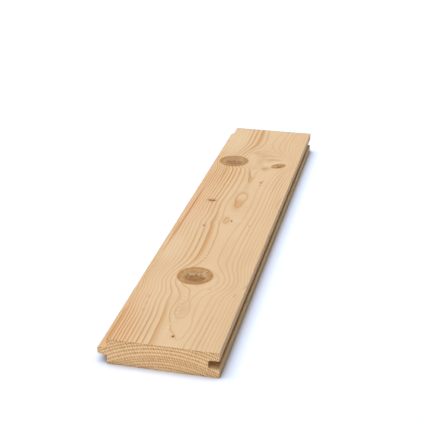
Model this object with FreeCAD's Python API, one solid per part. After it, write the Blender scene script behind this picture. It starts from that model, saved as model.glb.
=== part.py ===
import FreeCAD, Part
import math
import os

# Tongue and groove floorboard: one planed softwood board, moulded along both long edges and
# sawn square at both ends. It lies flat with its face up. X runs across the board, with the
# tongue at -X and the groove at +X, Y runs along the grain, and Z is up. The origin is at the
# middle of the underside, under the middle of the overall width, tongue included.

# Overall sizes, in mm
LENGTH = 613.0
COVER_WIDTH = 112.0  # shoulder to lip edge: the strip of floor that one laid board covers
THICKNESS = 28.0

# The tongue, which the groove follows
FACE_TO_TONGUE = 9.7  # wood above the tongue: the depth of its root below the face
TONGUE_REACH = 9.5
TONGUE_THICKNESS = 8.2  # at the root
TONGUE_NOSE_RADIUS = 2.4
TONGUE_ROOT_RADIUS = 0.4  # left by the worn corner of the cutter
FLANK_SLOPE = 1.2  # degrees that each flank of the tongue and of the groove closes in

# The play between a board's groove and its neighbour's tongue
FLANK_PLAY = 0.4
TIP_PLAY = 1.5
MOUTH_PLAY = 0.2  # how much rounder the groove's mouth is than the tongue's root
GROOVE_ROOT_RADIUS = 1.8

# The eased long edges
FACE_ARRIS_RADIUS = 0.5
UNDERSIDE_ARRIS_RADIUS = 1.0

# The largest share of a narrow wall that one rounded corner may take
CORNER_SHARE = 0.45


def rounded_outline(corners):
    """Return a closed wire in the XZ plane through the given corners.

    Each corner is (x, z, radius). A corner with a radius becomes an arc tangent to both of its
    sides, and the straight stretches join the arcs.
    """
    arcs = []
    for index, (x, z, radius) in enumerate(corners):
        corner = FreeCAD.Vector(x, 0, z)
        before = FreeCAD.Vector(corners[index - 1][0], 0, corners[index - 1][1])
        after_index = (index + 1) % len(corners)
        after = FreeCAD.Vector(corners[after_index][0], 0, corners[after_index][1])
        back = (before - corner).normalize()
        ahead = (after - corner).normalize()
        half_angle = back.getAngle(ahead) / 2
        tangent_length = radius / math.tan(half_angle)
        inward = (back + ahead).normalize()
        centre = corner + inward * (radius / math.sin(half_angle))
        start = corner + back * tangent_length
        end = corner + ahead * tangent_length
        arcs.append((start, centre - inward * radius, end))

    edges = []
    for index, (start, middle, end) in enumerate(arcs):
        edges.append(Part.Arc(start, middle, end).toShape())
        next_start = arcs[(index + 1) % len(arcs)][0]
        edges.append(Part.LineSegment(end, next_start).toShape())
    return Part.Wire(edges)


def board_section():
    """Return the board's cross-section as a face in the XZ plane."""
    slope = math.tan(math.radians(FLANK_SLOPE))
    tip_x = -(COVER_WIDTH + TONGUE_REACH) / 2
    shoulder_x = tip_x + TONGUE_REACH
    lip_x = shoulder_x + COVER_WIDTH

    tongue_top = THICKNESS - FACE_TO_TONGUE
    tongue_bottom = tongue_top - TONGUE_THICKNESS
    tip_drop = TONGUE_REACH * slope
    tip_thickness = TONGUE_THICKNESS - 2 * tip_drop
    nose_radius = min(TONGUE_NOSE_RADIUS, CORNER_SHARE * tip_thickness)

    # The groove is the tongue's own outline, let out by the play on each side
    groove_depth = TONGUE_REACH + TIP_PLAY
    groove_x = lip_x - groove_depth
    mouth_top = tongue_top + FLANK_PLAY
    mouth_bottom = tongue_bottom - FLANK_PLAY
    root_drop = groove_depth * slope
    root_height = mouth_top - mouth_bottom - 2 * root_drop
    groove_radius = min(GROOVE_ROOT_RADIUS, CORNER_SHARE * root_height)
    mouth_radius = TONGUE_ROOT_RADIUS + MOUTH_PLAY

    return Part.Face(rounded_outline([
        (shoulder_x, 0, UNDERSIDE_ARRIS_RADIUS),
        (lip_x, 0, UNDERSIDE_ARRIS_RADIUS),
        (lip_x, mouth_bottom, mouth_radius),
        (groove_x, mouth_bottom + root_drop, groove_radius),
        (groove_x, mouth_top - root_drop, groove_radius),
        (lip_x, mouth_top, mouth_radius),
        (lip_x, THICKNESS, FACE_ARRIS_RADIUS),
        (shoulder_x, THICKNESS, FACE_ARRIS_RADIUS),
        (shoulder_x, tongue_top, TONGUE_ROOT_RADIUS),
        (tip_x, tongue_top - tip_drop, nose_radius),
        (tip_x, tongue_bottom + tip_drop, nose_radius),
        (shoulder_x, tongue_bottom, TONGUE_ROOT_RADIUS),
    ]))


def board():
    """Return the whole board: its section run along the grain, cut square at both ends."""
    section = board_section()
    section.translate(FreeCAD.Vector(0, -LENGTH / 2, 0))
    return section.extrude(FreeCAD.Vector(0, LENGTH, 0))


os.makedirs("parts", exist_ok=True)
board().exportStep("parts/board.step")
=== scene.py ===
"""The tongue and groove board as it looks: planed softwood with knots, sawn square at both ends.

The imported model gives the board's outer sizes. One piece replaces it: the same section carried
along the grain, with the tree's growth rings worked out at every point and kept as attributes of
the mesh. The materials draw the latewood lines, the knots and the fibres from those.
"""

import logging
import math
from dataclasses import dataclass
from enum import Enum
from typing import Any, Mapping

import bpy
import numpy as np
from mathutils.geometry import delaunay_2d_cdt
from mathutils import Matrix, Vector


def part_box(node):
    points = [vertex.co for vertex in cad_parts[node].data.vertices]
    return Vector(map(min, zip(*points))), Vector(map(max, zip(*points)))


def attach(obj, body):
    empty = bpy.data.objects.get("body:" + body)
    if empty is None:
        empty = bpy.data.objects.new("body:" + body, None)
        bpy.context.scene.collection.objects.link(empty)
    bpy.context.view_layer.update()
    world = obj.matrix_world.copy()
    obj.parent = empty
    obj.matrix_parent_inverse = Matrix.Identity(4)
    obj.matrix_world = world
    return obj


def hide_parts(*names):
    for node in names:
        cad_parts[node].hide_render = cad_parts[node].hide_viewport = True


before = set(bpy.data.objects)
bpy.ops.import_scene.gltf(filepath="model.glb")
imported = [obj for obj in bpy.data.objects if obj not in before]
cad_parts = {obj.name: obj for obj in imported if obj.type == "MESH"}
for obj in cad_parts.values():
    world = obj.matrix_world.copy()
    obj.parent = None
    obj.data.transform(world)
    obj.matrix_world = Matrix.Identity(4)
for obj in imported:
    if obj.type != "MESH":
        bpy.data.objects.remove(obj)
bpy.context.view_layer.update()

Array = np.ndarray
Socket = bpy.types.NodeSocket
Tree = bpy.types.Material | bpy.types.World | bpy.types.Light

log = logging.getLogger("board")

MM = 0.001  # metres in a millimetre
BODY = "root"
NODE = "board"


class Grain(str, Enum):
    """The mesh attributes that carry the grain, and some painted shade, from the mesh to the materials."""

    RING = "ring_number"
    RATE = "rings_per_mm"
    STRENGTH = "latewood_strength"
    BLEED = "latewood_bleed"
    WARMTH = "warmth"
    # the branches' smears, and also painted shade on the deep wall of the groove
    SMEAR = "branch_smear_and_shade"
    PALE = "pale_patch"
    AMBER = "amber_patch"
    SLOW = "slow_years"
    # a duller, darker tone on the moulded sides: partly the cutters' finish, partly painted shade
    MOULDED_AND_SHADE = "moulded_side_and_shade"


def bell(offset: Array, width: Array | float, power: float = 2.0) -> Array:
    """Return exp(-|offset / width| ** power): 1 at no offset, and fading to 0 past the width."""
    return np.exp(-np.abs(offset / width) ** power)


def step_down(value: Array, middle: float, softness: float) -> Array:
    """Return 1 / (1 + exp((value - middle) / softness)): 1 below the middle and 0 above it."""
    return 1.0 / (1.0 + np.exp((value - middle) / softness))


def window(value: Array, start: float, end: float, softness: float) -> Array:
    """Return 1 between the start and the end, fading to 0 outside them over the softness."""
    return step_down(start - value, 0.0, softness) * step_down(value, end, softness)


def linear(hex_colour: str) -> tuple[float, float, float, float]:
    """Turn an sRGB hex colour into linear light.

    Args:
        hex_colour: Six hex digits, such as "e4c59f".

    Returns:
        Red, green, blue and an alpha of 1.
    """
    shares = [int(hex_colour[start:start + 2], 16) / 255 for start in (0, 2, 4)]
    red, green, blue = (s / 12.92 if s <= 0.04045 else ((s + 0.055) / 1.055) ** 2.4 for s in shares)
    return red, green, blue, 1.0


def add(
    tree: Tree,
    kind: str,
    inputs: Mapping[str | int, Any] | None = None,
    output: str | int = 0,
    **settings: Any,
) -> Socket:
    """Add one node to a material, with its settings and its links.

    Args:
        tree: The material or the world that takes the node.
        kind: The node's type.
        inputs: For each input, by name or number, either a value or the socket that feeds it.
        output: The wanted output, by name or number.
        settings: The node's own properties.

    Returns:
        The wanted output socket, or None for a node that has no outputs.
    """
    node = tree.node_tree.nodes.new(kind)
    for name, value in settings.items():
        setattr(node, name, value)
    for key, value in (inputs or {}).items():
        if isinstance(value, bpy.types.NodeSocket):
            tree.node_tree.links.new(value, node.inputs[key])
        else:
            node.inputs[key].default_value = value
    return node.outputs[output] if node.outputs else None


def new_material(name: str) -> bpy.types.Material:
    """Return a new material with an empty node tree."""
    material = bpy.data.materials.new(name)
    material.use_nodes = True
    material.node_tree.nodes.clear()
    return material


def tint(tree: Tree, under: Socket | tuple, layers: list[tuple[Socket | float, str]]) -> Socket:
    """Lay colours over one another, each by its own mask, the first one lowest."""
    for mask, colour in layers:
        under = add(tree, "ShaderNodeMix", {0: mask, 6: under, 7: linear(colour)}, 2, data_type="RGBA")
    return under


def product(tree: Tree, *factors: Socket | float) -> Socket:
    """Multiply sockets and numbers together."""
    result = factors[0]
    for factor in factors[1:]:
        result = add(tree, "ShaderNodeMath", {0: result, 1: factor}, operation="MULTIPLY")
    return result


def fade(tree: Tree, value: Socket, full: float, gone: float) -> Socket:
    """Return 1 where the value is at full and 0 where it is at gone, with a smooth change between."""
    low, high = min(full, gone), max(full, gone)
    ends = {"To Min": float(full < gone), "To Max": float(full > gone)}
    return add(tree, "ShaderNodeMapRange", {"Value": value, "From Min": low, "From Max": high, **ends},
               interpolation_type="SMOOTHSTEP")


def band(tree: Tree, value: Socket, middle: float, half_width: float) -> Socket:
    """Return 1 where the value is at the middle, falling smoothly to 0 at half a width from it."""
    offset = add(tree, "ShaderNodeMath", {0: value, 1: middle}, operation="SUBTRACT")
    distance = add(tree, "ShaderNodeMath", {0: offset}, operation="ABSOLUTE")
    return fade(tree, distance, 0.0, half_width)


def oval(
    tree: Tree,
    vector: Socket,
    middle: tuple[float, float],
    half_sizes: tuple[float, float],
    turn: float = 0.0,
    softness: float = 0.25,
) -> Socket:
    """Return 1 inside an oval of the vector's first two numbers and 0 outside it.

    Args:
        tree: The material.
        vector: The place, in the units of the sizes.
        middle: The oval's centre.
        half_sizes: Half its width and half its length.
        turn: How far it is turned anticlockwise, in degrees.
        softness: The share of its size over which its edge fades, each way.

    Returns:
        The mask.
    """
    endless = 1e6  # so that the third number doesn't count
    local = add(tree, "ShaderNodeMapping", {
        "Vector": vector,
        "Location": (*middle, 0),
        "Rotation": (0, 0, math.radians(turn)),
        "Scale": (*half_sizes, endless),
    }, vector_type="TEXTURE")
    reach = add(tree, "ShaderNodeVectorMath", {0: local}, "Value", operation="LENGTH")
    return fade(tree, reach, 1 - softness, 1 + softness)


def noise(
    tree: Tree, vector: Socket, scale: tuple[float, float, float], detail: float = 2.0,
    shift: float = 0.0,
) -> Socket:
    """Return smooth noise of about 0.3 to 0.7, its scale being cells for each unit of the vector."""
    place = add(tree, "ShaderNodeMapping", {"Vector": vector, "Scale": scale,
                                            "Location": (shift, shift * 0.7, -shift)})
    return add(tree, "ShaderNodeTexNoise", {"Vector": place, "Scale": 1.0, "Detail": detail}, "Fac")


@dataclass(frozen=True)
class Corner:
    """One corner of the section, rounded by the cutter, and the run that follows it."""

    x: float
    z: float
    radius: float
    step: float  # spacing of the mesh's points along the run after this corner
    arc_steps: int = 4


@dataclass(frozen=True)
class BoardSection:
    """The board's section in mm, in the frame's X and Z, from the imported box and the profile."""

    left: float  # the tongue's tip
    right: float  # the lips of the groove
    top: float
    tongue_reach: float = 9.5
    face_to_tongue: float = 9.7
    tongue_thickness: float = 8.2
    nose_radius: float = 2.4
    tongue_root_radius: float = 0.4
    flank_slope: float = 1.2  # degrees
    flank_play: float = 0.4
    tip_play: float = 1.5
    mouth_play: float = 0.2
    groove_root_radius: float = 1.8
    face_arris_radius: float = 0.5
    underside_arris_radius: float = 1.0
    guard: float = 0.12  # from each arc to the first point on the straight beside it

    @property
    def shoulder(self) -> float:
        """Where the tongue's shoulder stands, in X."""
        return self.left + self.tongue_reach

    def corners(self) -> list[Corner]:
        """Return the section's corners, anticlockwise as seen from the near end."""
        slope = math.tan(math.radians(self.flank_slope))
        tongue_top = self.top - self.face_to_tongue
        tongue_bottom = tongue_top - self.tongue_thickness
        tip_drop = self.tongue_reach * slope
        depth = self.tongue_reach + self.tip_play
        mouth_top = tongue_top + self.flank_play
        mouth_bottom = tongue_bottom - self.flank_play
        root_drop = depth * slope
        mouth_radius = self.tongue_root_radius + self.mouth_play
        root = self.right - depth
        return [
            Corner(self.shoulder, 0, self.underside_arris_radius, 3.6),
            Corner(self.right, 0, self.underside_arris_radius, 1.4),
            Corner(self.right, mouth_bottom, mouth_radius, 1.8),
            Corner(root, mouth_bottom + root_drop, self.groove_root_radius, 1.6, 6),
            Corner(root, mouth_top - root_drop, self.groove_root_radius, 1.8, 6),
            Corner(self.right, mouth_top, mouth_radius, 1.2),
            Corner(self.right, self.top, self.face_arris_radius, 1.2),
            Corner(self.shoulder, self.top, self.face_arris_radius, 1.2),
            Corner(self.shoulder, tongue_top, self.tongue_root_radius, 1.4),
            Corner(self.left, tongue_top - tip_drop, self.nose_radius, 1.4, 6),
            Corner(self.left, tongue_bottom + tip_drop, self.nose_radius, 1.8, 6),
            Corner(self.shoulder, tongue_bottom, self.tongue_root_radius, 1.6),
        ]

    def outline(self) -> tuple[Array, Array]:
        """Return the points of the closed outline and their outward normals.

        Each corner is an arc tangent to its two runs. A point on it is centre + r * n(t), where
        the normal n(t) turns evenly from the first run's normal to the second's. In a hollow
        corner r is negative. The runs are straight, with evenly spaced points.
        """
        corners = self.corners()
        places = np.array([(c.x, c.z) for c in corners])
        runs = np.roll(places, -1, axis=0) - places
        ahead = runs / np.linalg.norm(runs, axis=1)[:, None]
        behind = np.roll(ahead, 1, axis=0)
        across = behind[:, 0] * ahead[:, 1] - behind[:, 1] * ahead[:, 0]
        turns = np.arctan2(across, (behind * ahead).sum(axis=1))
        radii = np.array([c.radius for c in corners])
        tangents = radii * np.tan(np.abs(turns) / 2)
        normals = np.stack((behind[:, 1], -behind[:, 0]), axis=1)
        signed = radii * np.sign(turns)
        centres = places - behind * tangents[:, None] - normals * signed[:, None]

        points, directions = [], []
        for index, corner in enumerate(corners):
            angle = math.atan2(normals[index, 1], normals[index, 0])
            angle = angle + np.linspace(0, turns[index], corner.arc_steps + 1)
            turned = np.stack((np.cos(angle), np.sin(angle)), axis=1)
            points.append(centres[index] + signed[index] * turned)
            directions.append(turned)

            following = (index + 1) % len(corners)
            begin = places[index] + ahead[index] * tangents[index]
            length = np.linalg.norm(runs[index]) - tangents[index] - tangents[following]
            count = max(2, round(length / corner.step) + 1)
            distance = np.linspace(self.guard, length - self.guard, count)
            points.append(begin + ahead[index] * distance[:, None])
            directions.append(np.tile(turned[-1], (count, 1)))
        return np.concatenate(points), np.concatenate(directions)


@dataclass(frozen=True)
class Swell:
    """A stretch of the stem where the rings lie deeper or higher, so that their lines bend.

    Its side is -1 where it lies to the left of the middle only, 1 to the right, and 0 for both.
    """

    along: float
    toward_near: float
    toward_far: float
    rings: float
    power: float = 2.0
    side: int = 0


@dataclass(frozen=True)
class Dome:
    """A round hump in the rings near the face, which shows as a closed or pinched line."""

    across: float
    along: float
    half_width: float
    half_length: float
    rings: float
    power: float


@dataclass(frozen=True)
class Patch:
    """A soft oval where one of the grain's amounts differs, in mm and degrees.

    It lies on the face, or where it is upright on the groove's side, with the height in place of
    the distance across.
    """

    kind: Grain
    across: float
    along: float
    half_width: float
    half_length: float
    amount: float
    turn: float = 0.0
    power: float = 2.0
    upright: bool = False

    def weight(self, across: Array, along: Array, height: Array, lips: float) -> Array:
        """Return amount * exp(-reach ** power), with the reach 1 on the oval's edge.

        Args:
            across: The distance from the tongue's shoulder.
            along: The distance from the near end.
            height: The height above the underside.
            lips: Where the groove's side stands, as a distance across.
        """
        angle = math.radians(self.turn)
        x, y = (height if self.upright else across) - self.across, along - self.along
        u = (x * math.cos(angle) + y * math.sin(angle)) / self.half_width
        v = (y * math.cos(angle) - x * math.sin(angle)) / self.half_length
        here = bell(np.minimum(across - lips, 0), 1.5) if self.upright else 1.0
        return here * self.amount * bell(np.hypot(u, v), 1.0, self.power)


@dataclass(frozen=True)
class GrowthRings:
    """The tree's growth rings inside the board.

    The rings are cylinders round a pith that lies below the board, so on the flat-sawn face they
    run along the grain, far apart in the middle and close together at the edges. Across is the
    distance in mm from the tongue's shoulder, along is that from the near end, and height is
    that above the underside. The latewood of ring n ends where the ring number is n.
    """

    face_height: float
    pith_depth: float = 133.0  # below the face
    ring_width: float = 1.128
    pith_across: float = 60.7
    near_shift: float = -1.1
    near_shift_length: float = 60.0
    base_lift: float = -0.2
    domes_depth: float = 9.0
    side_middle: float = 50.0  # where the one-sided swells change over, across
    side_softness: float = 3.5
    swells: tuple[Swell, ...] = (
        Swell(133, 22, 28, -2.1, 2.2),
        Swell(329, 60, 66, -0.62, 2.2),
        Swell(481, 20, 36, -3.6, 3.0, 1),
        Swell(481, 62, 36, -2.2, 2.0, 1),
        Swell(481, 22, 49, -1.9, 3.2, -1),
        Swell(481, 45, 30, -0.5, 1.6, -1),
        Swell(612, 30, 36, -0.2),
        Swell(83, 24, 22, -0.16),
        Swell(-1, 30, 30, 0.22),
    )
    domes: tuple[Dome, ...] = (
        Dome(57.1, 67, 10.3, 19, -1.22, 3.4),
        Dome(60.0, 102, 5.8, 18, -0.75, 3.0),
        Dome(71.0, 35, 7.5, 24, -0.62, 2.4),
        Dome(58.0, 13, 7.0, 16, 0.2, 2.0),
        Dome(59.2, 359, 9.4, 15.5, -0.7, 4.0),
        Dome(58.9, 340, 7.6, 16.5, -0.38, 3.0),
        Dome(58.6, 417, 3.2, 12, -0.3, 3.0),
        Dome(72.0, 457, 12, 29, 1.5, 2.5),
        Dome(80.0, 549, 15, 40, 0.38, 2.0),
        Dome(54.6, 285.5, 4.3, 11, -0.95, 2.8),
    )

    @property
    def pith_height(self) -> float:
        """The pith's height above the underside, below zero because it lies outside."""
        return self.face_height - self.pith_depth

    def number(self, across: Array, along: Array, height: Array) -> Array:
        """Return the ring number at each point.

        It is (R - pith depth) / ring width, with R the distance from the pith, plus the swells,
        which depend on the distance along, and the domes, which fade with depth below the
        face. To the left of the middle the lines also drift sideways in a few places, and two
        stretches have wider rings.
        """
        left = step_down(across, 52.0, 3.0)
        drift = -1.3 * bell(along - 277, 9) + 0.9 * bell(along - 303, 14)
        drift = drift - 0.8 * bell(along - 340, 14) + 1.5 * bell(along - 205, 36)
        drift = drift - 3.0 * bell(along - 93, 30, 2.5)
        pith = self.pith_across + self.near_shift * bell(along - 5, self.near_shift_length)
        distance = np.hypot(across - drift * left - pith, height - self.pith_height)
        number = (distance - self.pith_depth) / self.ring_width
        wider = 0.24 * bell(along - 235, 75, 2.5) + 0.22 * bell(along - 590, 50, 2.5)
        number = number - left * wider * np.maximum(number - 2.0, 0) + self.base_lift
        near_middle = step_down(across, self.side_middle, self.side_softness)
        shares = {-1: near_middle, 0: 1.0, 1: 1.0 - near_middle}
        for swell in self.swells:
            offset = along - swell.along
            width = np.where(offset < 0, swell.toward_near, swell.toward_far)
            rings = swell.rings * bell(offset, width, swell.power)
            number = number + shares[swell.side] * rings
        near_face = bell(self.face_height - height, self.domes_depth)
        for dome in self.domes:
            reach = np.hypot(
                (across - dome.across) / dome.half_width, (along - dome.along) / dome.half_length
            )
            number = number + near_face * dome.rings * bell(reach, 1.0, dome.power)
        return number


@dataclass(frozen=True)
class KnotMark:
    """A dark spot or a pale check in a knot, its place and half sizes as shares of the knot's."""

    u: float
    v: float
    half_width: float
    half_length: float
    colour: str
    amount: float
    turn: float = 0.0
    softness: float = 0.5


@dataclass(frozen=True)
class KnotFinish:
    """A sound, tight knot planed flush.

    Its wood is cut across, so it drinks in light and looks darker than the board, with its own
    fine rings, a reddish heart and a few pale checks.
    """

    rim: str = "ba8a52"
    sapwood: str = "c39c68"
    heart: str = "94652f"
    ashen: str = "bd946a"
    check: str = "e0c3a0"
    dark: str = "74492a"
    edge: float = 0.05
    heart_amount: float = 0.85
    ashen_amount: float = 0.7
    ring_count: float = 9.0
    ring_amount: float = 0.22
    marks_amount: float = 1.0
    marks: tuple[KnotMark, ...] = (
        KnotMark(0.05, 0.05, 0.06, 0.17, "74492a", 0.55),
        KnotMark(-0.37, 0.02, 0.05, 0.17, "74492a", 0.6, 12),
        KnotMark(-0.17, -0.13, 0.10, 0.09, "74492a", 0.6),
        KnotMark(0.46, -0.18, 0.15, 0.08, "74492a", 0.6, -20),
        KnotMark(0.02, -0.40, 0.38, 0.05, "74492a", 0.3),
        KnotMark(0.17, 0.20, 0.04, 0.14, "e2c8a4", 0.6, -8),
        KnotMark(0.25, 0.20, 0.04, 0.13, "74492a", 0.5, -8),
        KnotMark(0.36, 0.32, 0.10, 0.09, "e2c8a4", 0.35, 20),
        KnotMark(0.52, 0.15, 0.03, 0.20, "e2c8a4", 0.6, 12),
        KnotMark(-0.36, 0.17, 0.04, 0.12, "e2c8a4", 0.45, 12),
        KnotMark(-0.20, 0.12, 0.08, 0.07, "e2c8a4", 0.3),
        KnotMark(-0.02, 0.40, 0.26, 0.14, "a3855a", 0.3),
        KnotMark(0.46, 0.56, 0.04, 0.18, "e6bd8f", 0.7, -32),
        KnotMark(0.66, -0.30, 0.05, 0.16, "dcb78c", 0.5, -25),
        KnotMark(0.05, -0.86, 0.75, 0.17, "a06a38", 0.2),
        KnotMark(-0.60, -0.55, 0.07, 0.20, "d8b385", 0.5, 42),
        KnotMark(0.10, -0.52, 0.34, 0.07, "84552a", 0.4),
        KnotMark(-0.42, -0.28, 0.05, 0.20, "84552a", 0.4, 30),
        KnotMark(0.58, -0.32, 0.05, 0.16, "84552a", 0.4, -35),
    )

    def layers(self, tree: Tree, name: str, seed: float) -> tuple[Socket, Socket]:
        """Return the knot's mask and its colour.

        Args:
            tree: The material.
            name: The attribute that holds the place in the knot.
            seed: A number that makes this knot's noise its own.
        """
        place = add(tree, "ShaderNodeAttribute", output="Vector", attribute_name=name)
        grainy = noise(tree, place, (2.2, 2.2, 0), 3.0, seed)
        reach = add(tree, "ShaderNodeVectorMath", {0: place}, "Value", operation="LENGTH")
        ragged = add(tree, "ShaderNodeMath", {0: grainy, 1: 0.10, 2: reach}, operation="MULTIPLY_ADD")
        mask = fade(tree, ragged, 1.05 - self.edge, 1.05 + self.edge)
        phase = product(tree, ragged, self.ring_count * 2 * math.pi)
        wave = add(tree, "ShaderNodeMath", {0: phase}, operation="SINE")
        rings = product(tree, fade(tree, wave, 1.0, -0.6), fade(tree, ragged, 0.95, 1.05))
        core = oval(tree, place, (0.05, -0.05), (0.6, 0.55), 0, 0.3)
        streaks = noise(tree, place, (8, 3.5, 0), 2.0, seed + 4)
        dark_streaks = fade(tree, streaks, 0.66, 0.5)
        pale_streaks = fade(tree, streaks, 0.34, 0.5)
        heart = product(tree, oval(tree, place, (0.05, -0.3), (0.58, 0.38), 0, 0.45), self.heart_amount)
        ashen = product(tree, oval(tree, place, (0.05, 0.2), (0.56, 0.42), 0, 0.4), self.ashen_amount)
        colour = tint(tree, linear(self.rim), [
            (band(tree, ragged, 0.72, 0.2), self.sapwood),
            (ashen, self.ashen),
            (heart, self.heart),
            (product(tree, rings, self.ring_amount * 0.8), self.dark),
            (product(tree, rings, core, self.ring_amount), self.dark),
            (product(tree, wave, core, self.ring_amount), self.check),
            (product(tree, dark_streaks, 0.15), self.dark),
            (product(tree, pale_streaks, 0.2), self.check),
        ])
        for mark in self.marks:
            inside = oval(tree, place, (mark.u, mark.v), (mark.half_width, mark.half_length),
                          mark.turn, mark.softness)
            amount = product(tree, inside, mark.amount * self.marks_amount)
            colour = tint(tree, colour, [(amount, mark.colour)])
        return mask, colour


DULL_FINISH = KnotFinish(
    rim="b58852", sapwood="be9a68", heart="9c7046", ashen="b3916a", check="cdac82",
    heart_amount=0.7, marks_amount=0.7,
)

SPIKE_FINISH = KnotFinish(
    rim="c19058", sapwood="c4985f", heart="9c6e38", ashen="be935c", edge=0.12,
    heart_amount=0.8, ashen_amount=0.3, ring_count=4.0,
    marks=(
        KnotMark(0.05, 0.75, 0.85, 0.22, "a0703c", 0.4),
        KnotMark(-0.12, -0.40, 0.36, 0.26, "75501f", 0.6),
        KnotMark(-0.72, -0.20, 0.24, 0.30, "a56f38", 0.6),
        KnotMark(-0.36, 0.35, 0.26, 0.12, "d6aa7c", 0.7, 45),
        KnotMark(0.30, 0.30, 0.26, 0.09, "d2a475", 0.6, 45),
        KnotMark(0.60, -0.10, 0.26, 0.12, "a06e36", 0.5, 45),
    ),
)


@dataclass(frozen=True)
class Knot:
    """A branch cut through by the face: a cone that starts at the pith.

    Its place and its half sizes are those on the face. Its width is turned anticlockwise from
    straight across the board, in degrees, as seen from above.
    """

    name: str
    across: float
    along: float
    half_width: float
    half_length: float
    turn: float = 0.0
    finish: KnotFinish = KnotFinish()

    def local(self, across: Array, along: Array, height: Array, rings: GrowthRings) -> Array:
        """Return where points lie in the branch as vectors (u, v, 0), 1 long at its edge.

        The branch's share of its full size is s = (height - pith) / (face - pith). Its centre
        moves from over the pith to the knot's place by s, and both half sizes shrink by s.
        """
        share = (height - rings.pith_height) / rings.pith_depth
        centre = rings.pith_across + (self.across - rings.pith_across) * share
        angle = math.radians(self.turn)
        x, y = across - centre, along - self.along
        u = (x * math.cos(angle) + y * math.sin(angle)) / (self.half_width * share)
        v = (y * math.cos(angle) - x * math.sin(angle)) / (self.half_length * share)
        return np.stack((u, v, np.zeros_like(u)), axis=-1)


@dataclass(frozen=True)
class Fleck:
    """A pin knot or a speck on the planed surface, in mm and degrees."""

    across: float
    along: float
    half_width: float
    half_length: float
    colour: str
    amount: float
    turn: float = 0.0
    softness: float = 0.5


KNOTS = (
    Knot("near_knot", 52.6, 142.2, 19.8, 20.0),
    Knot("far_knot", 23.7, 478.7, 19.8, 19.9, 0.0, DULL_FINISH),
    Knot("slanting_knot", 87.2, 473.2, 11.2, 7.6, 45.0, SPIKE_FINISH),
)

# the small dark knot, the pin knots, the specks of bark and other small marks, with two painted glints
# among them
FLECKS = (
    Fleck(24.5, 341.6, 6.4, 4.6, "b98a58", 0.5, 0, 0.6),
    Fleck(24.4, 340.8, 4.4, 1.8, "855a28", 0.7, 0, 0.5),
    Fleck(21.6, 341.1, 1.7, 2.1, "704210", 0.7, 20, 0.6),
    Fleck(26.9, 341.1, 1.9, 2.2, "704210", 0.75, -20, 0.6),
    Fleck(24.6, 337.8, 0.8, 2.8, "8a6038", 0.55),
    Fleck(61.6, 18.8, 2.4, 3.6, "c9a06c", 0.45, 0, 0.7),
    Fleck(61.7, 18.8, 1.1, 1.8, "6a3400", 0.95, 0, 0.4),
    Fleck(61.6, 286.2, 2.2, 3.4, "c9a06c", 0.5, 0, 0.7),
    Fleck(61.5, 286.4, 0.75, 2.0, "743c00", 0.95, 15, 0.4),
    Fleck(62.2, 283.8, 0.55, 1.4, "8a5618", 0.5, 15, 0.5),
    Fleck(31.8, 267.4, 2.0, 3.6, "c9a06c", 0.45, 0, 0.7),
    Fleck(31.9, 267, 0.75, 1.8, "743c00", 0.95, 15, 0.4),
    Fleck(74.1, 410.7, 1.3, 2.9, "9a5e18", 0.9, 15, 0.6),
    Fleck(75.7, 416, 0.9, 2.2, "a8702c", 0.65, 15, 0.6),
    Fleck(74.2, 401.5, 0.9, 2.2, "9a6424", 0.65, 10, 0.6),
    Fleck(4.6, 317.2, 1.0, 62.0, "b87444", 0.75, -0.4, 0.6),
    Fleck(3.4, 242.2, 1.1, 42.0, "bf7d4c", 0.6, -1.0, 0.6),
    Fleck(75.2, 116.7, 0.7, 1.5, "96683c", 0.6, -40, 0.5),
    Fleck(17.2, 88.2, 1.6, 3.2, "c08c5a", 0.35, 0, 0.7),
    Fleck(18, 75.2, 1.4, 4.2, "c08c5a", 0.3, 0, 0.7),
    Fleck(18.8, 62.2, 1.2, 4.2, "c08c5a", 0.3, 0, 0.7),
    Fleck(103, 109.2, 0.8, 3.2, "b07c48", 0.45, -8, 0.6),
    Fleck(110.6, 130.2, 1.0, 5.0, "b08858", 0.45, -20, 0.7),
    Fleck(108, 351.2, 0.8, 17.0, "c08a58", 0.5, -2, 0.7),
    Fleck(84.6, 276.7, 0.8, 2.6, "b08450", 0.5, 0, 0.6),
    # painted highlights: two pale glints across the grain, near the pin knot at 286 mm
    Fleck(68.7, 288.2, 7.0, 1.3, "f0dcb8", 0.5, 12, 0.7),
    Fleck(57.2, 308.2, 9.0, 0.9, "f0dcb8", 0.35, 0, 0.8),
)

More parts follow.
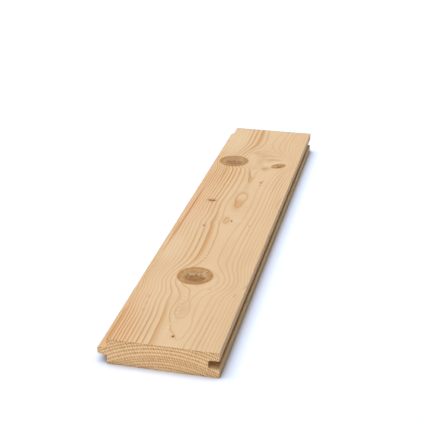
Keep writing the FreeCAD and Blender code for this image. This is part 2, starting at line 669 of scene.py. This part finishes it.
PATCHES = (
    # how strong the latewood lines are, beyond the same amount everywhere
    Patch(Grain.STRENGTH, 6, 22, 18, 44, 0.7, 0, 4),
    Patch(Grain.STRENGTH, 28, 22, 12, 44, 0.25, 0, 4),
    Patch(Grain.STRENGTH, 50, 70, 7, 62, -0.3, 0, 4),
    Patch(Grain.STRENGTH, 46, 330, 5, 70, -0.35, 0, 4),
    Patch(Grain.STRENGTH, 16, 88, 30, 24, -0.2, 0, 4),
    Patch(Grain.STRENGTH, 12, 205, 18, 36, -0.42, 0, 4),
    Patch(Grain.STRENGTH, 22, 272, 22, 32, -0.3, 0, 4),
    Patch(Grain.STRENGTH, 16, 345, 17, 34, 0.3, 0, 4),
    Patch(Grain.STRENGTH, 20, 422, 20, 42, 0.55, 0, 4),
    Patch(Grain.STRENGTH, 12, 565, 18, 54, -0.42, 0, 4),
    Patch(Grain.STRENGTH, 33, 580, 8, 60, 0.45, 0, 3),
    Patch(Grain.STRENGTH, 36, 245, 6, 60, 0.35, 0, 3),
    Patch(Grain.STRENGTH, 90, 30, 8, 34, 0.25, 0, 3),
    Patch(Grain.STRENGTH, 86, 88, 26, 24, -0.15, 0, 4),
    Patch(Grain.STRENGTH, 85, 275, 5, 40, 0.3, 0, 3),
    Patch(Grain.STRENGTH, 102, 345, 6, 45, 0.35, 0, 3),
    Patch(Grain.STRENGTH, 97, 418, 9, 36, 0.5, 0, 3),
    Patch(Grain.STRENGTH, 59, 352, 12, 30, 0.32, 0, 4),
    Patch(Grain.STRENGTH, 55, 286.5, 5, 11, -0.15, 0, 4),
    Patch(Grain.STRENGTH, 56, 436, 7, 26, 0.35, 0, 4),
    Patch(Grain.STRENGTH, 76, 440, 13, 26, -0.45, 0, 4),
    Patch(Grain.STRENGTH, 69, 486, 25, 27, -0.45, 0, 4),
    Patch(Grain.STRENGTH, 50, 484, 9, 34, -0.5, 0, 4),
    Patch(Grain.STRENGTH, 20, 140, 20, 40, -0.36, 0, 4),
    # how far the latewood's tone fades into the ring
    Patch(Grain.BLEED, 59, 352, 11, 32, 2.6, 0, 3),
    Patch(Grain.BLEED, 55, 430, 6, 26, 2.0, 0, 3),
    Patch(Grain.BLEED, 55, 287, 6, 12, 1.6, 0, 3),
    Patch(Grain.BLEED, 4, 300, 4, 90, 1.5, 0, 3),
    # where the whole tone is warmer, as it is near the tongue
    Patch(Grain.WARMTH, 0, 40, 26, 90, 0.6, 0, 4),
    Patch(Grain.WARMTH, 0, 350, 28, 105, 0.7, 0, 4),
    Patch(Grain.PALE, 6, 330, 12, 60, 0.12, 0, 4),
    # resin-coloured streaks
    Patch(Grain.AMBER, 1.8, 22, 2.0, 58, 0.55, 0, 3),
    Patch(Grain.AMBER, 3.4, 300, 3.0, 95, 0.12, 0, 3),
    Patch(Grain.AMBER, 59.0, 335, 6.4, 15, 0.48, 0, 3),
    Patch(Grain.AMBER, 57.5, 372, 7, 5, 0.2),
    Patch(Grain.AMBER, 59.0, 318, 5, 12, 0.12),
    Patch(Grain.AMBER, 55.0, 287, 3.8, 11, 0.5, 6, 3),
    Patch(Grain.AMBER, 59.0, 360, 9, 19, 0.17, 0, 4),
    Patch(Grain.AMBER, 58.6, 419, 2.8, 13, 0.42, 4, 3),
    Patch(Grain.AMBER, 54.0, 434, 1.6, 15, 0.36, 14),
    Patch(Grain.AMBER, 19.8, 440, 1.9, 30, 0.42, -1, 3),
    Patch(Grain.AMBER, 1.5, 195, 2.5, 14, 0.35),
    # wood dragged along by branches that lie just below the face, or cut by it
    Patch(Grain.SMEAR, 69, 507, 13, 4.6, 0.5, -3, 3),
    Patch(Grain.SMEAR, 77, 494.5, 10.5, 3.4, 0.85, -2, 3),
    Patch(Grain.SMEAR, 72, 488, 5, 5, 0.45),
    Patch(Grain.SMEAR, 61, 486, 6, 22, 0.42),
    Patch(Grain.SMEAR, 70.5, 457.0, 3.8, 6.0, 0.95, 20),
    Patch(Grain.SMEAR, 73.5, 463, 6.0, 5.5, 0.65, -35),
    Patch(Grain.SMEAR, 57, 69, 7, 12, 0.3),
    Patch(Grain.SMEAR, 59, 395, 3.5, 22, 0.4),
    Patch(Grain.SMEAR, 48, 514, 9, 6, 0.4),
    Patch(Grain.PALE, 68.5, 477, 3.4, 8, 0.3, 15),
    Patch(Grain.PALE, 80, 483.5, 7.5, 2.6, 0.5, 42),
    Patch(Grain.PALE, 59, 363, 6, 9, 0.3),
    Patch(Grain.PALE, 55.4, 289, 1.5, 5, 0.3, -8),
    Patch(Grain.PALE, 44, 505, 5, 12, 0.35),
    Patch(Grain.PALE, 9, 560, 17, 56, 0.35, 0, 4),
    Patch(Grain.PALE, 8, 205, 14, 36, 0.3, 0, 4),
    Patch(Grain.PALE, 24, 90, 22, 60, 0.16, 0, 4),
    # the trace of a branch on the groove's upper lip
    Patch(Grain.SMEAR, 22.6, 263, 4.6, 2.4, 2.0, -52, 3, True),
)


@dataclass(frozen=True)
class PlanedSoftwood:
    """Planed spruce or pine without any coating.

    The planer leaves it smooth but not shiny. The wood of spring is creamy, and each ring ends in
    a thin brown line of latewood with a sharp outer edge, which fades inwards.
    """

    early: str = "e9caa3"
    early_warm: str = "eec9a1"
    late: str = "c48d50"
    late_warm: str = "cc8d54"
    amber: str = "c98a46"
    # the branches' smears, and the painted shade deep in the groove
    smear_and_shade: str = "b48752"
    pale: str = "f3dbb6"
    # the moulded sides' tone, partly the cutters' finish and partly painted shade
    moulded_and_shade: str = "bb9848"
    roughness: float = 0.62
    trace_across: float = 53.0
    trace_pitch: float = 7.4

    def material(
        self, origin: tuple[float, float], knots: tuple[Knot, ...], flecks: tuple[Fleck, ...],
    ) -> bpy.types.Material:
        """Return the material of every planed and moulded surface.

        Args:
            origin: The tongue's shoulder in X and the near end in Y, in mm.
            knots: The knots, each with its attribute on the mesh.
            flecks: The small marks, by their places on the face.
        """
        tree = new_material("planed_spruce")
        mm = board_place(tree, origin)
        grain = {
            g: add(tree, "ShaderNodeAttribute", output="Fac", attribute_name=g.value) for g in Grain
        }
        line = latewood(tree, mm, grain, wander=0.28, core=(0.4, 0.95))
        warm = grain[Grain.WARMTH]
        fibre = noise(tree, mm, (1.4, 0.02, 1.4), 4.0)
        cloud = noise(tree, mm, (0.05, 0.012, 0.05), 2.0, 9.0)
        rough_smear_and_shade = fade(tree, noise(tree, mm, (0.1, 0.22, 0.1), 3.0), 0.0, 1.2)
        smear_and_shade_mask = product(tree, grain[Grain.SMEAR], rough_smear_and_shade)
        colour = tint(tree, linear(self.early), [
            # the moulded sides are darker: partly the cutters' finish, partly painted shade
            (warm, self.early_warm), (grain[Grain.MOULDED_AND_SHADE], self.moulded_and_shade),
        ])
        colour = tint(tree, colour, [
            (product(tree, fade(tree, cloud, 0.75, 0.4), 0.12), self.late),
            (product(tree, fade(tree, fibre, 0.7, 0.35), 0.10), self.late),
        ])
        ripe = tint(tree, linear(self.late), [(warm, self.late_warm)])
        colour = add(tree, "ShaderNodeMix", {0: line, 6: colour, 7: ripe}, 2, data_type="RGBA")
        colour = tint(tree, colour, [
            (grain[Grain.AMBER], self.amber),
            # the branches' smears, and painted shade on the groove's deep wall
            (smear_and_shade_mask, self.smear_and_shade),
            (grain[Grain.PALE], self.pale),
            (product(tree, self.dotted_trace(tree, mm), 0.8), self.pale),
        ])
        for fleck in flecks:
            spot = oval(tree, mm, (fleck.across, fleck.along), (fleck.half_width, fleck.half_length),
                        fleck.turn, fleck.softness)
            colour = tint(tree, colour, [(product(tree, spot, fleck.amount), fleck.colour)])
        for seed, knot in enumerate(knots):
            mask, tone = knot.finish.layers(tree, knot.name, seed * 3.7)
            colour = add(tree, "ShaderNodeMix", {0: mask, 6: colour, 7: tone}, 2, data_type="RGBA")
        height = product(tree, fibre, 0.6)
        normal = add(tree, "ShaderNodeBump", {"Strength": 0.5, "Distance": 0.00008, "Height": height})
        shader = add(tree, "ShaderNodeBsdfPrincipled", {
            "Base Color": colour, "Roughness": self.roughness, "Normal": normal,
            "Specular IOR Level": 0.3,
        })
        add(tree, "ShaderNodeOutputMaterial", {"Surface": shader})
        return tree

    def dotted_trace(self, tree: Tree, mm: Socket) -> Socket:
        """Return the mask of the pale dots where the planer cut along a resin canal.

        They lie in one row along the grain, one every pitch, at both sides of the near knot.
        """
        parts = add(tree, "ShaderNodeSeparateXYZ", {0: mm})
        x, y = parts, parts.node.outputs["Y"]
        turn = product(tree, y, 1 / self.trace_pitch)
        turn = add(tree, "ShaderNodeMath", {0: turn}, operation="FRACT")
        dots = product(tree, band(tree, turn, 0.5, 0.3), band(tree, x, self.trace_across, 1.1))
        near = product(tree, dots, fade(tree, y, 108, 116), fade(tree, y, 22, 14))
        far = product(tree, dots, fade(tree, y, 215, 225), fade(tree, y, 172, 164))
        return add(tree, "ShaderNodeMath", {0: near, 1: far})


def board_place(tree: Tree, origin: tuple[float, float]) -> Socket:
    """Return the place in mm from the tongue's shoulder, the near end and the underside."""
    place = add(tree, "ShaderNodeTexCoord", output="Object")
    return add(tree, "ShaderNodeMapping", {
        "Vector": place, "Location": (-origin[0], -origin[1], 0), "Scale": (1 / MM,) * 3,
    })


def latewood(
    tree: Tree, mm: Socket, grain: Mapping[Grain, Socket | float], wander: float,
    core: tuple[float, float],
) -> Socket:
    """Return how dark the latewood is at a point.

    With f the share of the way through the ring and g the rings in each mm of the surface, the
    distance to the latewood's sharp outer edge is d = (1 - f) / g. The darkness is a mix of
    exp(-d / w), a thin line whose width w differs from ring to ring, and exp(-(d / bleed) ** 2).

    Args:
        tree: The material.
        mm: The place in mm.
        grain: The grain's amounts, each a socket or a number.
        wander: How far the lines stray to each side, in mm.
        core: The least and the greatest width of the thin line, in mm.
    """
    sway = noise(tree, mm, (0.16, 0.045, 0.16))
    sway = add(tree, "ShaderNodeMapRange", {"Value": sway, "From Min": 0.3, "From Max": 0.7,
                                            "To Min": -wander, "To Max": wander}, clamp=False)
    ring = add(tree, "ShaderNodeMath", {0: sway, 1: grain[Grain.RATE], 2: grain[Grain.RING]},
               operation="MULTIPLY_ADD")
    share = add(tree, "ShaderNodeMath", {0: ring}, operation="FRACT")
    left = add(tree, "ShaderNodeMath", {0: 1.0, 1: share}, operation="SUBTRACT")
    distance = add(tree, "ShaderNodeMath", {0: left, 1: grain[Grain.RATE]}, operation="DIVIDE")
    whole = add(tree, "ShaderNodeMath", {0: ring}, operation="FLOOR")
    chance = add(tree, "ShaderNodeTexWhiteNoise", {"W": whole}, "Value", noise_dimensions="1D")
    other = add(tree, "ShaderNodeTexWhiteNoise", {"W": add(tree, "ShaderNodeMath", {0: whole, 1: 0.37})},
                "Value", noise_dimensions="1D")
    width = add(tree, "ShaderNodeMapRange", {"Value": chance, "To Min": core[0], "To Max": core[1]})
    thin = add(tree, "ShaderNodeMath", {0: distance, 1: width}, operation="DIVIDE")
    thin = add(tree, "ShaderNodeMath", {0: product(tree, thin, -1.0)}, operation="EXPONENT")
    soft = add(tree, "ShaderNodeMath", {0: distance, 1: grain[Grain.BLEED]}, operation="DIVIDE")
    soft = add(tree, "ShaderNodeMath", {0: product(tree, soft, soft, -1.0)}, operation="EXPONENT")
    both = add(tree, "ShaderNodeMix", {0: 0.5, 2: thin, 3: soft}, 0)
    vary = add(tree, "ShaderNodeMapRange", {"Value": other, "To Min": 0.6, "To Max": 1.1})
    return product(tree, both, vary, grain[Grain.STRENGTH])


@dataclass(frozen=True)
class SawnEndGrain:
    """The same wood cut square across by a saw.

    The cut fibre ends soak up light, so it is darker and yellower than the face. The rings of a
    few slow years, close together, show as darker arcs. The teeth drag fibres over, which breaks
    the arcs up into dashes and leaves a fringe of them at the top edge.
    """

    early: str = "fedaaa"
    late: str = "a26229"
    fringe: str = "74400f"
    roughness: float = 0.85
    ring_rate: float = 1 / 1.128  # rings in each mm
    dash: float = 2.5  # mm from one dash to the next, coarse enough for the photograph
    dash_lean: float = 1.0  # how much of a turn each ring moves its dashes on, in radians

    def material(self, origin: tuple[float, float], top: float) -> bpy.types.Material:
        """Return the material of both ends.

        Args:
            origin: The tongue's shoulder in X and the near end in Y, in mm.
            top: The height of the face, in mm.
        """
        tree = new_material("sawn_end_grain")
        mm = board_place(tree, origin)
        grain = {
            g: add(tree, "ShaderNodeAttribute", output="Fac", attribute_name=g.value)
            for g in (Grain.RING, Grain.SLOW)
        }
        steady = {Grain.RATE: self.ring_rate, Grain.STRENGTH: 0.5, Grain.BLEED: 0.5}
        line = latewood(tree, mm, grain | steady, wander=0.15, core=(0.25, 0.6))
        height = add(tree, "ShaderNodeSeparateXYZ", {0: mm}, "Z")
        slow = grain[Grain.SLOW]
        dashes = self.dashes(tree, mm, grain[Grain.RING])
        dashed = fade(tree, dashes, 0.6, 0.4)
        speckle = noise(tree, mm, (1.3, 0, 1.1), 2.0, 5.0)
        blotch = fade(tree, noise(tree, mm, (0.07, 0, 0.2), 1.0, 3.0), 0.25, 0.9)
        fringe = product(tree, fade(tree, height, top, top - 3.0), dashed)
        colour = tint(tree, linear(self.early), [
            (product(tree, slow, 0.4), self.late),
            (product(tree, dashed, 0.2), self.late),
            (product(tree, slow, dashed, blotch, 0.6), self.fringe),
            (product(tree, line, 0.25), self.late),
            (product(tree, fade(tree, speckle, 0.65, 0.5), 0.2), self.late),
            # painted shade: darker over the lowest 3.5 mm, where the end meets the floor
            (product(tree, fade(tree, height, 0.0, 3.5), 0.2), self.late),
            (product(tree, fringe, 0.45), self.fringe),
        ])
        rough = add(tree, "ShaderNodeMath", {0: dashes, 1: speckle})
        normal = add(tree, "ShaderNodeBump", {"Strength": 0.6, "Distance": 0.0003, "Height": rough})
        shader = add(tree, "ShaderNodeBsdfPrincipled", {
            "Base Color": colour, "Roughness": self.roughness, "Normal": normal,
            "Specular IOR Level": 0.2,
        })
        add(tree, "ShaderNodeOutputMaterial", {"Surface": shader})
        return tree

    def dashes(self, tree: Tree, mm: Socket, ring: Socket) -> Socket:
        """Return the dashes that the saw leaves in each dark arc, 0 between them and 1 on them.

        They are (1 + sin(2 pi x / dash + lean * ring + 9 * noise)) / 2, so they lie evenly along
        an arc, are staggered from ring to ring and stray a little.
        """
        across = add(tree, "ShaderNodeSeparateXYZ", {0: mm}, "X")
        stray = product(tree, noise(tree, mm, (0.35, 0, 0.5), 1.0, 7.0), 9.0)
        turn = add(tree, "ShaderNodeMath", {0: ring, 1: self.dash_lean, 2: stray},
                   operation="MULTIPLY_ADD")
        turn = add(tree, "ShaderNodeMath", {0: across, 1: 2 * math.pi / self.dash, 2: turn},
                   operation="MULTIPLY_ADD")
        wave = add(tree, "ShaderNodeMath", {0: turn}, operation="SINE")
        return add(tree, "ShaderNodeMath", {0: wave, 1: 0.5, 2: 0.5}, operation="MULTIPLY_ADD")


@dataclass(frozen=True)
class Wear:
    """What the planer, the cutters and the saw leave on the wood, in mm, always inwards."""

    knot_dish: float = 0.12  # a knot's middle lies this far below the face
    chip_reach: float = 0.8  # how far from the ends the saw frays the edges
    chip_least: float = 0.04
    chip_spread: float = 0.3
    saw_pitch: float = 2.6
    saw_depth: float = 0.07
    seed: int = 7


@dataclass(frozen=True)
class Board:
    """The board's one piece of wood: its section carried from the near end to the far end."""

    section: BoardSection
    near: float  # where the near end stands in Y, in mm
    length: float
    rings: GrowthRings
    wear: Wear = Wear()
    knots: tuple[Knot, ...] = KNOTS
    flecks: tuple[Fleck, ...] = FLECKS
    patches: tuple[Patch, ...] = PATCHES
    slow_years: tuple[float, ...] = (
        -21.4, -18.6, -15.5, -13.2, -10.8, -7.2, -3.6, -0.2, 2.7, 5.5, 8.2, 10.9,
    )
    station_step: float = 2.1
    knot_station_step: float = 1.3
    end_station_step: float = 0.35
    end_reach: float = 1.5
    cap_step: float = 1.0

    def stations(self) -> Array:
        """Return the distances from the near end at which the section is set, in mm.

        The number of stations passed grows by 1 / step for each mm. The step is smaller over the
        knots and just inside both ends, so the stations are where that count is whole.
        """
        along = np.linspace(0, self.length, 20001)
        density = np.full_like(along, 1 / self.station_step)
        for knot in self.knots:
            near_knot = bell(along - knot.along, knot.half_width * 1.1, 6.0)
            density = np.maximum(density, near_knot / self.knot_station_step)
        end = np.minimum(along, self.length - along)
        density = np.maximum(density, bell(end, self.end_reach) / self.end_station_step)
        count = np.concatenate(([0.0], np.cumsum((density[1:] + density[:-1]) / 2 * np.diff(along))))
        wanted = np.linspace(0, count[-1], math.ceil(count[-1]) + 1)
        return np.interp(wanted, count, along)

    def cap_points(self, outline: Array) -> Array:
        """Return points inside the section, in rows that are staggered by half a step.

        A point counts as inside where a ray from it to the right crosses the outline an odd
        number of times, and it keeps half a step from every side.
        """
        low, high = outline.min(axis=0), outline.max(axis=0)
        rows = np.arange(low[1], high[1], self.cap_step * 0.87)
        columns = np.arange(low[0], high[0], self.cap_step)
        x = columns[None, :] + np.where(np.arange(len(rows)) % 2, self.cap_step / 2, 0)[:, None]
        z = np.broadcast_to(rows[:, None], x.shape)
        points = np.stack((x.ravel(), z.ravel()), axis=1)

        start, end = outline, np.roll(outline, -1, axis=0)
        run = end - start
        offset = points[:, None] - start[None]
        share = np.clip((offset * run).sum(axis=2) / (run * run).sum(axis=1), 0, 1)
        gap = np.linalg.norm(offset - share[..., None] * run, axis=2).min(axis=1)
        spans = (start[:, 1] > points[:, None, 1]) != (end[:, 1] > points[:, None, 1])
        with np.errstate(divide="ignore", invalid="ignore"):
            crossing = start[:, 0] + (points[:, None, 1] - start[:, 1]) * run[:, 0] / run[:, 1]
        inside = (spans & (points[:, None, 0] < crossing)).sum(axis=1) % 2 == 1
        return points[inside & (gap > self.cap_step / 2)]

    def cap_triangles(self, outline: Array, inner: Array) -> Array:
        """Return triangles that fill the outline through the inner points, anticlockwise."""
        points = np.concatenate((outline, inner)).tolist()
        inside_only = 1
        _, _, faces, origins, _, _ = delaunay_2d_cdt(
            points, [], [list(range(len(outline)))], inside_only, 1e-7
        )
        first = np.array([group[0] for group in origins])
        return first[np.array(faces)]

    def build(self) -> bpy.types.Object:
        """Return the finished board as one object with its materials."""
        outline, normals = self.section.outline()
        along = self.stations()
        count = len(outline)
        x, z = np.meshgrid(along, outline[:, 0], indexing="ij")[1], np.tile(outline[:, 1], (len(along), 1))
        y = np.tile(along[:, None], (1, count))
        across = x - self.section.shoulder
        number = self.rings.number(across, y, z)
        depth = self.wear_depth(across, y, z, normals)

        closed = np.concatenate((outline, outline[:1]))
        travel = np.concatenate(([0.0], np.cumsum(np.linalg.norm(np.diff(closed, axis=0), axis=1))))
        around = np.concatenate((number[:, -1:], number, number[:, :1]), axis=1)
        places = np.concatenate(([-(travel[-1] - travel[-2])], travel))
        slope_round = np.gradient(around, places, axis=1)[:, 1:-1]
        slope_along = np.gradient(number, along, axis=0)
        rate = np.hypot(slope_round, slope_along)

        inner = self.cap_points(outline)
        triangles = self.cap_triangles(outline, inner)
        side = np.arange(len(along) * count).reshape(len(along), count)
        here, there = side[:-1], side[1:]
        quads = np.stack(
            (here, there, np.roll(there, -1, axis=1), np.roll(here, -1, axis=1)), axis=-1
        ).reshape(-1, 4)

        worn_x, worn_z = x - depth * normals[:, 0], z - depth * normals[:, 1]
        vertices = [np.stack((worn_x.ravel(), y.ravel(), worn_z.ravel()), axis=1)]
        rates = [rate.ravel()]
        caps = []
        for station, facing in ((0, 1), (len(along) - 1, -1)):
            first = sum(len(v) for v in vertices)
            sawn = along[station] + facing * self.saw_marks(inner)
            vertices.append(np.stack((inner[:, 0], sawn, inner[:, 1]), axis=1))
            rates.append(np.full(len(inner), 1 / self.rings.ring_width))
            index = np.concatenate((side[station], np.arange(first, first + len(inner))))
            caps.append(index[triangles][:, ::facing])
        points = np.concatenate(vertices)

        mesh = bpy.data.meshes.new("planed_board")
        moved = (points + (0, self.near, 0)) * MM
        faces = quads.tolist() + caps[0].tolist() + caps[1].tolist()
        mesh.from_pydata(moved.tolist(), [], faces)
        self.add_grain(mesh, points, np.concatenate(rates))

        origin = (self.section.shoulder, self.near)
        mesh.materials.append(PlanedSoftwood().material(origin, self.knots, self.flecks))
        mesh.materials.append(SawnEndGrain().material(origin, self.section.top))
        slots = np.concatenate((np.zeros(len(quads), int), np.ones(2 * len(caps[0]), int)))
        mesh.polygons.foreach_set("material_index", slots)
        mesh.shade_smooth()
        mesh.set_sharp_from_angle(angle=math.radians(40))
        board = bpy.data.objects.new("planed_board", mesh)
        bpy.context.scene.collection.objects.link(board)
        log.info("planed_board: %d stations of %d points, %d end points, %d triangles",
                 len(along), count, len(inner), 2 * len(quads) + 2 * len(caps[0]))
        return board

    def wear_depth(self, across: Array, along: Array, height: Array, normals: Array) -> Array:
        """Return how far inwards each point of the sides lies from the sharp section, in mm.

        Over a knot on the face it is dish * exp(-(reach / 0.85) ** 4). Near an end it is
        (least + spread * r ** 2) * exp(-(distance / chip reach) ** 2), where r is a random
        number for each line of points along the board.
        """
        wear = self.wear
        chance = np.random.default_rng(wear.seed)
        depth = np.zeros_like(across)
        for knot in self.knots:
            reach = np.linalg.norm(knot.local(across, along, height, self.rings), axis=-1)
            depth += wear.knot_dish * bell(reach, 0.85, 4.0)
        depth *= normals[:, 1] > 0.9
        for distance in (along, self.length - along):
            frayed = wear.chip_least + wear.chip_spread * chance.random(across.shape[1]) ** 2
            depth += frayed * bell(distance, wear.chip_reach)
        return depth

    def saw_marks(self, inner: Array) -> Array:
        """Return how far each inner point of an end lies inwards, in mm.

        The saw leaves shallow upright ridges: depth * (1 + sin(2 pi (x + wobble) / pitch)) / 2,
        where the wobble is sin(z / 3), so that no ridge is quite straight.
        """
        wobble = np.sin(inner[:, 1] / 3.0)
        phase = 2 * math.pi * (inner[:, 0] + wobble) / self.wear.saw_pitch
        return self.wear.saw_depth * (1 + np.sin(phase)) / 2

    def add_grain(self, mesh: bpy.types.Mesh, points: Array, rate: Array) -> None:
        """Store the grain at each vertex, with the painted shade of the groove and the moulded sides.

        Args:
            mesh: The board's mesh.
            points: The vertices in mm, with Y from the near end.
            rate: The rings in each mm of the surface.
        """
        across, along, height = points[:, 0] - self.section.shoulder, points[:, 1], points[:, 2]
        number = self.rings.number(across, along, height)
        lips = self.section.right - self.section.shoulder
        left = step_down(across, 59.0, 3.0)
        first = 0.7 * window(along, -20, 85, 8) + window(along, 172, 300, 8)
        first = left * (first + window(along, 520, 700, 6))
        moulded_and_shade = step_down(height, self.section.top - 1.5, 0.3)
        # painted shade: the deep wall of the groove, where little light reaches, darkened through the
        # smear amount
        groove_shade = window(across, lips - 12, lips - 10, 0.3) * window(height, 9, 20, 0.3)
        fields = {kind: np.zeros_like(across) for kind in Grain}
        fields[Grain.RING] = number
        fields[Grain.RATE] = np.maximum(rate, 0.02)
        fields[Grain.STRENGTH] = 0.45 + 0.45 * left + 0.1 * first * window(number, 0.05, 1.0, 0.02)
        fields[Grain.BLEED] = 1.6 + 0.5 * left
        fields[Grain.AMBER] = 0.55 * first * bell(number - 0.68, 0.27, 2.5)
        fields[Grain.SMEAR] = 1.6 * groove_shade
        # painted shade, partly the cutters' duller finish: every moulded surface below the face is darker,
        # less so on the tongue and between heights of 10 and 19 mm
        fields[Grain.MOULDED_AND_SHADE] = moulded_and_shade * (0.44 - 0.1 * step_down(across, -0.5, 0.2))
        fields[Grain.MOULDED_AND_SHADE] *= 1 - 0.6 * window(height, 10, 19, 1.0)
        for patch in self.patches:
            fields[patch.kind] = fields[patch.kind] + patch.weight(across, along, height, lips)
        fields[Grain.STRENGTH] = np.maximum(fields[Grain.STRENGTH], 0) * (1 - 0.4 * moulded_and_shade)
        fields[Grain.BLEED] = np.minimum(fields[Grain.BLEED], 0.5 / fields[Grain.RATE])
        fields[Grain.AMBER] = fields[Grain.AMBER] * (1 - moulded_and_shade)
        for year in self.slow_years:
            fields[Grain.SLOW] = fields[Grain.SLOW] + bell(number - year, 0.75)
        for kind, values in fields.items():
            attribute = mesh.attributes.new(kind.value, "FLOAT", "POINT")
            attribute.data.foreach_set("value", values.astype(np.float32))
        for knot in self.knots:
            attribute = mesh.attributes.new(knot.name, "FLOAT_VECTOR", "POINT")
            local = knot.local(across, along, height, self.rings)
            attribute.data.foreach_set("vector", local.astype(np.float32).ravel())


@dataclass(frozen=True)
class Camera:
    """The camera at the photograph's viewing angle."""

    place: tuple[float, float, float] = (0.22886, -1.05213, 0.52532)
    turn: float = 13.237  # anticlockwise from looking along the board, in degrees
    dip: float = 24.715  # below the horizon, in degrees
    lens: float = 82.0
    sensor: float = 36.0

    def build(self) -> bpy.types.Object:
        """Add the camera and make it the scene's own."""
        data = bpy.data.cameras.new("camera")
        data.lens = self.lens
        data.sensor_width = self.sensor
        data.clip_start = 0.01
        data.clip_end = 50.0
        camera = bpy.data.objects.new("camera", data)
        camera.location = self.place
        camera.rotation_euler = (math.radians(90 - self.dip), 0, math.radians(self.turn))
        bpy.context.scene.collection.objects.link(camera)
        bpy.context.scene.camera = camera
        return camera


@dataclass(frozen=True)
class Lamp:
    """A far lamp with a wide, soft disc."""

    name: str
    front: float  # how far it stands from overhead towards the front, in degrees
    left: float  # and towards the left
    strength: float  # watts for each square metre that faces it
    spread: float = 30.0  # how wide the disc looks, in degrees

    def build(self) -> bpy.types.Object:
        """Add the lamp."""
        data = bpy.data.lights.new(self.name, "SUN")
        data.energy = self.strength
        data.angle = math.radians(self.spread)
        lamp = bpy.data.objects.new(self.name, data)
        lamp.rotation_euler = (math.radians(self.front), -math.radians(self.left), 0)
        bpy.context.scene.collection.objects.link(lamp)
        return lamp


@dataclass(frozen=True)
class Studio:
    """A white floor without an edge, soft lamps overhead and a faint low one in front.

    Most of the light comes from above, the left and the front, so the groove's side is the
    darkest. The sides get much of their light from the floor.
    """

    floor_size: float = 12.0
    floor_bounce: str = "f2f2f2"
    # painted shade: the floor's colour for bounced light near the board
    floor_bounce_painted_shade: str = "7c7c7c"
    floor_seen: str = "bfbbb0"
    floor_glow: tuple[float, float, float, float] = (0.51, 0.63, 0.95, 1.0)
    shadow_reach: float = 18.0  # mm
    shadow_lean: tuple[float, float, float] = (-0.17, 0.0, 0.985)
    lamps: tuple[Lamp, ...] = (
        Lamp("overhead", 0, 0, 1.235),
        Lamp("left", 0, 30, 0.89),
        Lamp("front", 30, 0, 0.99),
        Lamp("low_front", 80, 0, 0.82, 20.0),
    )

    def background_mask(self, tree: Tree) -> Socket:
        """Return 1 for what the camera sees, straight or by reflection, and 0 for other rays."""
        seen = add(tree, "ShaderNodeLightPath", output="Is Camera Ray")
        for ray in ("Is Glossy Ray", "Is Transmission Ray"):
            seen = add(tree, "ShaderNodeMath",
                       {0: seen, 1: add(tree, "ShaderNodeLightPath", output=ray)}, operation="MAXIMUM")
        return seen

    def floor(self) -> bpy.types.Object:
        """Return a large white floor that keeps the board's shadow.

        The camera sees the lamps' own shadow on it, and a glow that fades where the board hides
        much of the space above the floor. The glow is cool, so the shadow is bluish.
        """
        half = self.floor_size / 2
        mesh = bpy.data.meshes.new("floor")
        corners = [(-half, -half, 0), (half, -half, 0), (half, half, 0), (-half, half, 0)]
        mesh.from_pydata(corners, [], [(0, 1, 2, 3)])
        tree = new_material("white_floor")
        seen = self.background_mask(tree)
        lean = add(tree, "ShaderNodeCombineXYZ", dict(enumerate(self.shadow_lean)))
        open_share = add(tree, "ShaderNodeAmbientOcclusion",
                         {"Distance": self.shadow_reach * MM, "Normal": lean}, "AO", samples=24)
        # painted shade: near the board, where much of the space above is hidden, the floor's colour for
        # bounced light darkens
        shade = tint(tree, linear(self.floor_bounce), [
            (fade(tree, open_share, 0.4, 0.95), self.floor_bounce_painted_shade),
            (seen, self.floor_seen),
        ])
        matt = add(tree, "ShaderNodeBsdfDiffuse", {"Color": shade})
        lit = add(tree, "ShaderNodeMapRange", {"Value": open_share, "From Min": 0.43, "From Max": 0.965})
        glow = add(tree, "ShaderNodeEmission",
                   {"Color": self.floor_glow, "Strength": product(tree, lit, seen)})
        both = add(tree, "ShaderNodeAddShader", {0: matt, 1: glow})
        add(tree, "ShaderNodeOutputMaterial", {"Surface": both})
        mesh.materials.append(tree)
        floor = bpy.data.objects.new("floor", mesh)
        bpy.context.scene.collection.objects.link(floor)
        return floor

    def light(self) -> None:
        """Add the lamps, and a world that is white to the camera and dark to everything else."""
        world = bpy.data.worlds.new("studio")
        bpy.context.scene.world = world
        world.use_nodes = True
        world.node_tree.nodes.clear()
        backdrop = add(world, "ShaderNodeBackground",
                       {"Color": linear("ffffff"), "Strength": self.background_mask(world)})
        add(world, "ShaderNodeOutputWorld", {"Surface": backdrop})
        for lamp in self.lamps:
            lamp.build()


def main() -> None:
    """Build the board and its surroundings, and report each piece."""
    logging.basicConfig(level=logging.INFO, format="%(name)s: %(message)s")
    bpy.context.scene.view_settings.view_transform = "Standard"
    low, high = (np.array(corner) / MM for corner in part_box(NODE))
    section = BoardSection(left=low[0], right=high[0], top=high[2])
    board = Board(section, low[1], high[1] - low[1], GrowthRings(face_height=high[2])).build()
    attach(board, BODY)
    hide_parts(NODE)
    Camera().build()
    Studio().floor()
    Studio().light()


if __name__ == "__main__":
    main()
